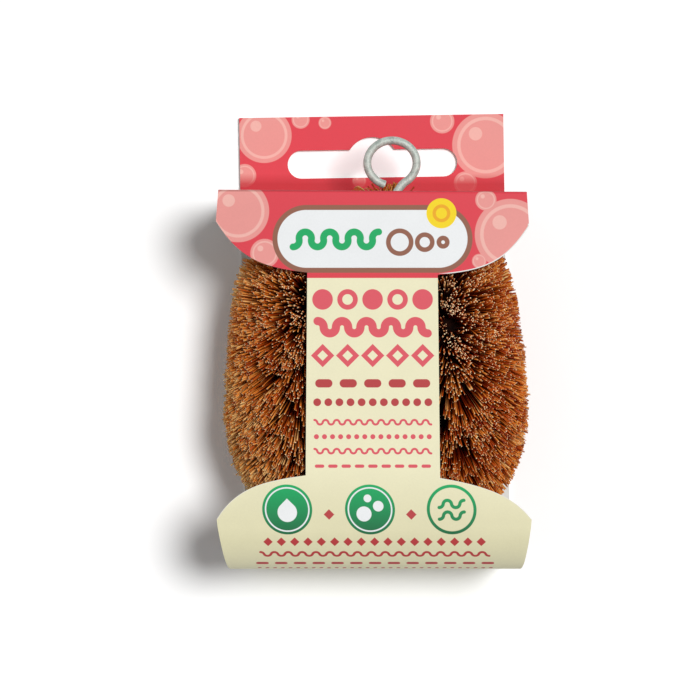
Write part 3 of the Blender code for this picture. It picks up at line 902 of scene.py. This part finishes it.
def make_core_wires(path, material):
    """The two wires, wound round each other along the loop."""
    count = TWIST_TURNS * 20
    run = path.length * np.arange(count + 1) / count
    centre, _, outward, _ = path.at(run)
    for name, node, phase in (("core_a", "core_wire_a", 0.0), ("core_b", "core_wire_b", math.pi)):
        turn = 2 * math.pi * TWIST_TURNS * run / path.length + phase
        points = centre + PAIR_RADIUS * turned(turn, outward, FRONT)
        wire = link_object(name, tube_mesh(name, points, CORE_WIRE_DIAMETER / 2, 12), material)
        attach(wire, "sleeved_brush")
        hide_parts(node)


def make_ring(material):
    """One wire: cut end, round the ring, down through the card, twice round the neck."""
    angles = np.linspace(RING_LEG_ANGLE, 2 * math.pi - RING_CUT_ANGLE, 161)[::-1]
    across = RING_X + RING_HALF_WIDTH * np.sin(angles)
    up = RING_Y - RING_HALF_HEIGHT * np.cos(angles)
    ring = np.column_stack([across, up, 0 * angles + AXIS_Z])
    turns = np.linspace(0.1, TIE_TURNS, 96)
    around = 2 * math.pi * turns + math.pi / 2
    tie = np.column_stack([
        RING_X + TIE_HALF_WIDTH * np.cos(around),
        NECK_TOP_Y - RING_WIRE_DIAMETER / 2 - 0.3 - TIE_PITCH * turns,
        AXIS_Z + TIE_HALF_DEPTH * np.sin(around),
    ])
    pull = LEG_EASE * np.linalg.norm(tie[0] - ring[-1])
    ring_slope, tie_slope = unit(ring[-1] - ring[-2]), unit(tie[1] - tie[0])
    leg = hermite(ring[-1], pull * ring_slope, tie[0], pull * tie_slope, 30)
    points = np.vstack([ring, leg, tie[1:]])
    radii = np.full(len(points), RING_WIRE_DIAMETER / 2)
    radii[0] *= CUT_END_SHARE
    wire = link_object("ring_wire", tube_mesh("ring_wire", points, radii, 24), material)
    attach(wire, "sleeved_brush")
    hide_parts("hanging_ring")


# ---------------- coir

def inside_sleeve(spots, margin):
    """Which points keep the margin from the inner faces of the card."""
    y, z = spots[..., 1], spots[..., 2]
    room = CARD + margin
    kept = (y >= SLEEVE_BOTTOM + room) & (y <= SLEEVE_TOP - room)
    kept &= (z >= room) & (z <= SLEEVE_DEPTH - room)
    for radius, centre_z, side in (
        (BACK_BEND_RADIUS, BACK_BEND_RADIUS, -1),
        (FRONT_BEND_RADIUS, SLEEVE_DEPTH - FRONT_BEND_RADIUS, 1),
    ):
        centre_y = SLEEVE_BOTTOM + radius
        corner = (y < centre_y) & (side * (z - centre_z) > 0)
        kept &= ~(corner & (np.hypot(y - centre_y, z - centre_z) > radius - room))
    return kept


class ReachTable:
    """How far fibre can stand from the core, by distance along it and angle round it."""

    def __init__(self, path, first, last):
        self.runs = np.linspace(first, last, 111)
        self.angles = np.linspace(0, 2 * math.pi, 49)
        steps = np.arange(SHORTEST_REACH, BRISTLE_REACH + 0.1, REACH_STEP)
        centre, _, outward, bend = path.at(self.runs)
        self.rows = np.empty((len(self.runs), len(self.angles)))
        for i, run in enumerate(self.runs):
            direction = turned(self.angles, outward[i], FRONT)
            spots = centre[i] + steps[:, None] * direction[:, None]
            others = path.points[np.abs(path.run - run) > LOOP_RADIUS][::3]
            nearest = np.linalg.norm(spots[:, :, None] - others, axis=3).min(axis=2)
            kept = inside_sleeve(spots, ROOM_FROM_CARD) & (steps < nearest + MINGLE)
            tie_edge = TIE_HALF_WIDTH + RING_WIRE_DIAMETER / 2 + ROOM_FROM_TIE
            beyond_tie = np.abs(spots[..., 0] - RING_X) > tie_edge
            kept &= (spots[..., 1] < NECK_FOOT_Y - RING_WIRE_DIAMETER) | beyond_tie
            inward = np.maximum(direction @ bend[i], 1e-6)
            from_end = min(run, path.length - run) - NECK_LENGTH
            taper = LEFT_TAPER_LENGTH if run < path.length / 2 else RIGHT_TAPER_LENGTH
            share = min(1.0, max(0.0, from_end / taper))
            trim = BRISTLE_REACH_AT_NECK + (BRISTLE_REACH - BRISTLE_REACH_AT_NECK) * share
            limit = np.minimum(trim, MOST_CROSSING / inward)
            stopped = ~kept | (steps > limit[:, None])
            stop = np.where(stopped.any(axis=1), stopped.argmax(axis=1), len(steps))
            last = steps[np.maximum(stop - 1, 0)] + 0.2
            self.rows[i] = np.minimum(np.where(stop > 0, last, SHORTEST_REACH), trim)

    def fitted(self, path, centre, aim, reach):
        """The reaches, changed so that each tip ends near the trimmed surface where it stands."""
        tips = centre + reach[:, None] * aim
        spots, runs = path.points[::3], path.run[::3]
        nearest = np.linalg.norm(tips[:, None] - spots, axis=2).argmin(axis=1)
        centre, _, outward, _ = path.at(runs[nearest])
        away = tips - centre
        angle = np.arctan2(away[:, 2], (away * outward).sum(axis=1))
        allowed = self.at(runs[nearest], angle)
        return reach * np.clip(allowed / np.linalg.norm(away, axis=1), 0.3, 1.12)

    def at(self, run, angle):
        i = np.clip((run - self.runs[0]) / (self.runs[1] - self.runs[0]), 0, len(self.runs) - 1.001)
        j = np.mod(angle, 2 * math.pi) / (self.angles[1] - self.angles[0])
        a, b = i.astype(int), np.minimum(j.astype(int), len(self.angles) - 2)
        s, t = i - a, j - b
        near, far = (self.rows[k, b] * (1 - t) + self.rows[k, b + 1] * t for k in (a, a + 1))
        return near * (1 - s) + far * s


STATIONS = np.array([0.0, 0.42, 0.78, 1.0])
WIDTHS = np.array([0.9, 0.96, 1.0, 1.04])
SIDES = 3


def fibre_template():
    """Corners, face starts and map places of one fibre, from its root cap to its cut tip."""
    corners, starts, places = [], [], []
    count = len(STATIONS)
    for i, j, face in side_faces(count, SIDES):
        starts.append(len(corners))
        corners += face
        low, high = 0.08 + 0.62 * STATIONS[i], 0.08 + 0.62 * STATIONS[i + 1]
        left, right = 0.1 + 0.8 * j / SIDES, 0.1 + 0.8 * (j + 1) / SIDES
        places += [(left, low), (right, low), (right, high), (left, high)]
    top = (count - 1) * SIDES
    for cap, base in (([top, top + 1, top + 2], 0.1), ([2, 1, 0], 0.6)):
        starts.append(len(corners))
        corners += cap
        places += [(base, 0.78), (base + 0.3, 0.78), (base + 0.15, 0.93)]
    return np.array(corners), np.array(starts), np.array(places)


def fibre_mesh(name, lines, radii, tint, along, twist):
    """Three-sided fibres along lines of (fibres, stations, 3), in mm, as one mesh."""
    count = len(lines)
    slope = unit(lines[:, -1] - lines[:, 0])
    helper = np.where(np.abs(slope[:, 2:]) < 0.8, [[0.0, 0.0, 1.0]], [[1.0, 0.0, 0.0]])
    first = unit(np.cross(slope, helper))
    second = np.cross(slope, first)
    angle = twist[:, None] + 2 * math.pi * np.arange(SIDES) / SIDES
    spokes = turned(angle, first[:, None], second[:, None])
    width = radii[:, None] * WIDTHS
    points = lines[:, :, None] + width[:, :, None, None] * spokes[:, None]
    corners, starts, places = fibre_template()
    each = len(STATIONS) * SIDES
    mesh = bpy.data.meshes.new(name)
    mesh.vertices.add(count * each)
    mesh.vertices.foreach_set("co", (points * MM).astype(np.float32).ravel())
    mesh.loops.add(count * len(corners))
    order = np.arange(count)[:, None]
    mesh.loops.foreach_set("vertex_index", (order * each + corners).astype(np.int32).ravel())
    mesh.polygons.add(count * len(starts))
    starts = (order * len(corners) + starts).astype(np.int32).ravel()
    mesh.polygons.foreach_set("loop_start", starts)
    caps = np.zeros((count, len(mesh.polygons) // count), bool)
    caps[:, -2:] = True
    mesh.polygons.foreach_set("use_smooth", ~caps.ravel())
    caps[:, -1] = False
    mesh.polygons.foreach_set("material_index", caps.ravel().astype(np.int32))
    mesh.update(calc_edges=True)
    cells = math.ceil(math.sqrt(count))
    origin = np.stack([order[:, 0] % cells, order[:, 0] // cells], axis=1)
    layer = mesh.uv_layers.new(name="OFBake")
    layer.data.foreach_set("uv", ((origin[:, None] + places) / cells).astype(np.float32).ravel())
    for label, values in (
        ("tint", np.repeat(tint, each)),
        ("along", np.repeat(along, SIDES, axis=1).ravel()),
    ):
        attribute = mesh.attributes.new(label, "FLOAT", "POINT")
        attribute.data.foreach_set("value", values.astype(np.float32))
    mesh.validate()
    return mesh


def swirl(run, angle, seed):
    """Slow waves over the brush that lean neighbouring fibres the same way, within about 1."""
    rng = np.random.default_rng(seed)
    total = np.zeros_like(run)
    for _ in range(10):
        along = rng.uniform(0.15, 1.5)
        round_core = rng.integers(-8, 9)
        total += np.sin(along * run + round_core * angle + rng.uniform(0, 2 * math.pi))
    return total / 3.2


def combed(path, run):
    """How far the tips of the fibre lean along the core, as a share of their reach."""
    from_bottom = run - path.length / 2
    return -np.sign(from_bottom) * np.interp(np.abs(from_bottom), LEAN_PLACES, LEANS)


def gathered(run, angle, rng):
    """How far each root is from its tuft's middle, along the core and round it, and the tuft."""
    middle = rng.integers(0, len(run), len(run) // FIBRES_PER_TUFT)
    gap_run = run[:, None] - run[middle]
    gap_round = (angle[:, None] - angle[middle] + math.pi) % (2 * math.pi) - math.pi
    tuft = (gap_run**2 + (gap_round * BRISTLE_REACH) ** 2).argmin(axis=1)
    order = np.arange(len(run))
    return gap_run[order, tuft], gap_round[order, tuft], tuft


def density(path, run, angle, aim, reach, bend):
    """The share of the tries that is kept, so that the trimmed surface is evenly covered."""
    spread = 1 - reach * (aim * bend).sum(axis=1)
    spread += reach * (combed(path, run + 0.5) - combed(path, run - 0.5))
    weight = np.clip(spread, 0.1, 2.1) / 2.1
    # Fewer stand inside the loop, where they would crowd, and at the back and the front.
    for crowded, share in (
        (np.cos(angle) < -0.35, 0.45),
        (np.sin(angle) < -0.75, 0.6),
        (np.sin(angle) > 0.4, 0.72),
    ):
        weight *= np.where(crowded, share, 1.0)
    return weight


def tints_with_painted_light(rng, run, angle, centre, aim, tips, tuft_tint):
    """From 0, dark, to 1, golden: it varies by chance and by tuft, is darker in front and on one
    side as painted shade, and paler at the lower left and top as painted light.
    """
    front = np.clip(np.sin(angle), 0, 1)
    tint = 0.55 + 0.18 * rng.normal(size=len(run)) + 0.1 * tuft_tint + 0.08 * swirl(run, angle, 13)
    # Painted shade: darker where the fibre points to the front, and where it points right and up.
    tint -= 0.2 * front + 0.17 * aim @ PAINTED_SHADE_SIDE
    # Painted light: paler at the lower left and towards the top; painted shade: a little darker in
    # the left side.
    lower_left = -tips[:, :2].sum(axis=1)
    tint += 0.24 * np.clip((lower_left - 17) / 34, 0, 1)
    tint += 0.16 * np.clip((tips[:, 1] - 1) / 10, 0, 1)
    tint -= 0.05 * (centre[:, 0] < 0)
    return np.clip(tint, 0, 1)


def grow(path, reach_table, first, last, seed):
    """Lines, radii and looks of the fibres between two distances along the core."""
    rng = np.random.default_rng(seed)
    run = rng.uniform(first, last, FIBRE_TRIES)
    angle = rng.uniform(0, 2 * math.pi, FIBRE_TRIES)
    centre, slope, outward, bend = path.at(run)
    aim = turned(angle, outward, FRONT)
    reach = reach_table.at(run, angle)
    kept = rng.uniform(size=FIBRE_TRIES) < density(path, run, angle, aim, reach, bend)
    run, angle, centre, slope, outward, aim, reach = (
        rows[kept] for rows in (run, angle, centre, slope, outward, aim, reach)
    )
    count = len(run)
    round_core = -np.sin(angle)[:, None] * outward + np.cos(angle)[:, None] * FRONT
    alone = LEAN_ALONE * np.where(rng.uniform(size=count) < LOOSE_SHARE, LOOSE_LEAN, 1.0)
    gap_run, gap_round, tuft = gathered(run, angle, rng)
    tuft_along, tuft_round, tuft_length, tuft_tint = rng.normal(size=(4, count))[:, tuft]
    lean_along = LEAN_IN_WAVES * swirl(run, angle, 11) + alone * rng.normal(size=count)
    lean_along += LEAN_IN_TUFTS * tuft_along - TUFT_PULL * gap_run / reach + combed(path, run)
    lean_round = LEAN_IN_WAVES * swirl(run, angle, 12) + alone * rng.normal(size=count)
    lean_round += LEAN_IN_TUFTS * tuft_round - TUFT_PULL * gap_round
    in_front = np.clip((np.sin(angle) - 0.6) / 0.4, 0, 1)
    lean_round -= PARTING * in_front * np.sign(np.cos(angle) + 0.35)
    straight = unit(aim + lean_round[:, None] * round_core)
    lean = lean_along[:, None] * slope
    aim = straight + lean
    proud = (reach > BRISTLE_REACH - 0.4) & (rng.uniform(size=count) < PROUD_SHARE)
    reach = reach_table.fitted(path, centre, aim, reach)
    reach = reach * (1 - 0.3 * rng.uniform(size=count) ** 3 - 0.02 * np.abs(tuft_length))
    reach = np.where(proud, reach + rng.uniform(*PROUD_LENGTHS, count), reach)
    # No tip goes through the card above, below or over it.
    top, base = SLEEVE_DEPTH - CARD - 0.12, CARD + 0.12
    room = np.where(aim[:, 2] > 0, top - centre[:, 2], centre[:, 2] - base)
    reach = np.minimum(reach, room / np.maximum(np.abs(aim[:, 2]), 1e-3))
    below_roof = SLEEVE_TOP - CARD - ROOM_FROM_CARD - centre[:, 1]
    below_roof /= np.maximum(aim[:, 1], 1e-3)
    reach = np.minimum(reach, np.where(aim[:, 1] > 0, below_roof, BRISTLE_REACH + 1))
    start = FOOT_SHARE * reach
    distance = start[:, None] + (reach - start)[:, None] * STATIONS
    side = unit(np.cross(aim, rng.normal(size=(count, 3))))
    bow = rng.normal(size=count) * BOW
    share = (distance / reach[:, None]) ** LEAN_CURVE
    lines = centre[:, None] + distance[..., None] * straight[:, None]
    lines += (share * reach[:, None])[..., None] * lean[:, None]
    lines += (bow[:, None] * (STATIONS**2 - STATIONS))[..., None] * side[:, None]
    radii = FIBRE_RADIUS * np.clip(1 + 0.22 * rng.normal(size=count), 0.6, 1.6)
    tips = centre + reach[:, None] * aim
    tint = tints_with_painted_light(rng, run, angle, centre, aim, tips, tuft_tint)
    # Painted shade: fibre that points to the front counts as deeper, so its painted shade reaches
    # further along it.
    along = distance / BRISTLE_REACH - 0.07 * np.clip(np.sin(angle), 0, 1)[:, None]
    return lines, radii, tint, along, rng.uniform(0, 2 * math.pi, count)


def value_of(tree, name):
    """A number that the fibre's mesh carries at each point."""
    return Field(add_node(tree, "Attribute", attribute_name=name).outputs["Fac"])


COIR_TONES = [
    (0.0, (126, 30, 2)),
    (0.35, (196, 84, 16)),
    (0.65, (243, 150, 58)),
    (1.0, (255, 208, 134)),
]


def coir_material():
    """Golden brown fibre, with painted shade darkening it towards its root, and paler near its cut
    tip, partly its own colour and partly a painted highlight.
    """
    material, tree, shader = new_material("coir_fibre")
    patchy = noise(tree, 520, 3.0)
    tone = value_of(tree, "tint") + (patchy - 0.5) * 0.35
    ramp = add_node(tree, "ValToRGB", {"Fac": tone})
    elements = ramp.color_ramp.elements
    while len(elements) < len(COIR_TONES):
        elements.new(0.5)
    for stop, (position, colour) in zip(elements, COIR_TONES):
        stop.position = position
        stop.color = linear(*colour)
    along = value_of(tree, "along")
    # Painted shade: each fibre darkens towards its root, deep in the brush. Paler near the tip:
    # partly the fibre's own colour, partly a painted highlight.
    deep, tip = along.between(0.95, 0.6) * 0.94, along.between(0.93, 1.0) * 0.35
    base = mixed(tree, deep, ramp.outputs["Color"], linear(104, 20, 2))
    base = mixed(tree, tip, base, linear(252, 206, 142))
    dress(shader, base, patchy * 0.2 + 0.28, specular=0.08)
    return material


def cut_material():
    """The pale cut ends of the fibre."""
    material, tree, shader = new_material("coir_cut")
    patchy = noise(tree, 900, 2.0)
    share = value_of(tree, "tint") * 37
    base = mixed(tree, share.math("FRACT"), linear(204, 132, 70), linear(255, 234, 186))
    dress(shader, base, patchy * 0.2 + 0.5)
    return material


def root_shade_material():
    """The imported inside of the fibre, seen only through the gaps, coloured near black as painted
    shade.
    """
    material, tree, shader = new_material("coir_roots_shade")
    streaks = noise(tree, 900, 4.0, 0.7)
    # Painted shade: near-black brown for the packed fibre deep in the brush.
    base = mixed(tree, streaks.between(0.35, 0.7), linear(14, 4, 2), linear(40, 13, 5))
    dress(shader, base, 0.9, bumped(tree, streaks, 0.0006, 1.0), specular=0.1)
    return material


def make_root_mass(path, reach_table, material):
    """A closed body inside the fibre, dark as painted shade, so that no gap shows daylight."""
    runs = np.linspace(reach_table.runs[0] + 0.3, reach_table.runs[-1] - 0.3, 150)
    angles = np.linspace(0, 2 * math.pi, 29)[:-1]
    grid_run, grid_angle = np.meshgrid(runs, angles, indexing="ij")
    centre, _, outward, _ = path.at(grid_run)
    rough = 1 + 0.05 * np.random.default_rng(5).normal(size=grid_run.shape)
    reach = ROOT_MASS_SHARE * reach_table.at(grid_run, grid_angle) * rough
    reach = np.maximum(reach, LEAST_ROOT_MASS)[..., None]
    points = centre + reach * turned(grid_angle, outward, FRONT)
    mesh = closed_mesh("coir_roots_shade", points, inside_out=True)
    roots = link_object("coir_roots_shade", mesh, material)
    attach(roots, "sleeved_brush")


def make_wisps(materials):
    """Loose fibres out through the neck hole: a tuft at the ring's foot and a few strays."""
    rng = np.random.default_rng(77)
    foot, tip = [], []
    for _ in range(WISPS):
        x = rng.uniform(1.9, 4.7)
        foot.append((x + rng.uniform(-1, 1), 23.2, AXIS_Z + rng.uniform(-2.0, 1.0)))
        x += rng.normal() * 0.9
        tip.append((x, rng.uniform(27.0, 28.7), AXIS_Z + rng.uniform(-2.0, 0.6)))
    for _ in range(STRAYS):
        x = rng.uniform(-1.4, 2.4)
        level = AXIS_Z + rng.uniform(-2.0, 1.5)
        foot.append((x, 24.6, level))
        tip.append((x - rng.uniform(1.6, 3.2), rng.uniform(27.1, 27.7), level))
    foot, tip = np.array(foot), np.array(tip)
    count = len(foot)
    side = unit(np.cross(tip - foot, rng.normal(size=(count, 3))))
    bow = rng.normal(size=count) * 1.6
    # The strays rise out of the hole and lie over along the card's top fold.
    side[WISPS:] = (0, 1, 0)
    bow[WISPS:] = rng.uniform(4.0, 6.0, STRAYS)
    lines = foot[:, None] + (tip - foot)[:, None] * STATIONS[:, None]
    lines += (bow[:, None] * (STATIONS - STATIONS**2))[..., None] * side[:, None]
    radii = FIBRE_RADIUS * rng.uniform(0.8, 1.2, count)
    tint = rng.uniform(0.2, 1.0, count)
    along = np.ones((count, len(STATIONS))) * 0.8
    mesh = fibre_mesh("coir_wisps", lines, radii, tint, along, rng.uniform(0, 6, count))
    wisps = link_object("coir_wisps", mesh, *materials)
    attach(wisps, "sleeved_brush")


def make_coir(path, materials):
    first = path.first_fibre()
    ends = np.linspace(first, path.length - first, BUNDLES + 1)
    reach_table = ReachTable(path, ends[0], ends[-1])
    for index, (first, last) in enumerate(zip(ends, ends[1:]), start=1):
        name = f"coir_{index:02d}"
        mesh = fibre_mesh(name, *grow(path, reach_table, first, last, 100 + index))
        bundle = link_object(name, mesh, *materials)
        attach(bundle, "sleeved_brush")
        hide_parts(f"coir_bundle_{index:02d}")
    make_root_mass(path, reach_table, root_shade_material())
    make_wisps(materials)


# ---------------- the whole scene

bpy.context.scene.view_settings.view_transform = "Standard"
add_camera()
add_light()
add_floor()
inside = plain_board("card_inside", BOARD_WHITE)
edges = plain_board("card_edge", linear(228, 226, 218))
tab_face = tab_print()
make_sleeve([sleeve_print(), inside, edges])
make_tab([tab_face, tab_face, plain_board("tab_edge", linear(226, 222, 212), seam=True)])
core = CorePath()
steel = steel_material()
make_core_wires(core, steel)
make_ring(steel)
make_coir(core, [coir_material(), cut_material()])
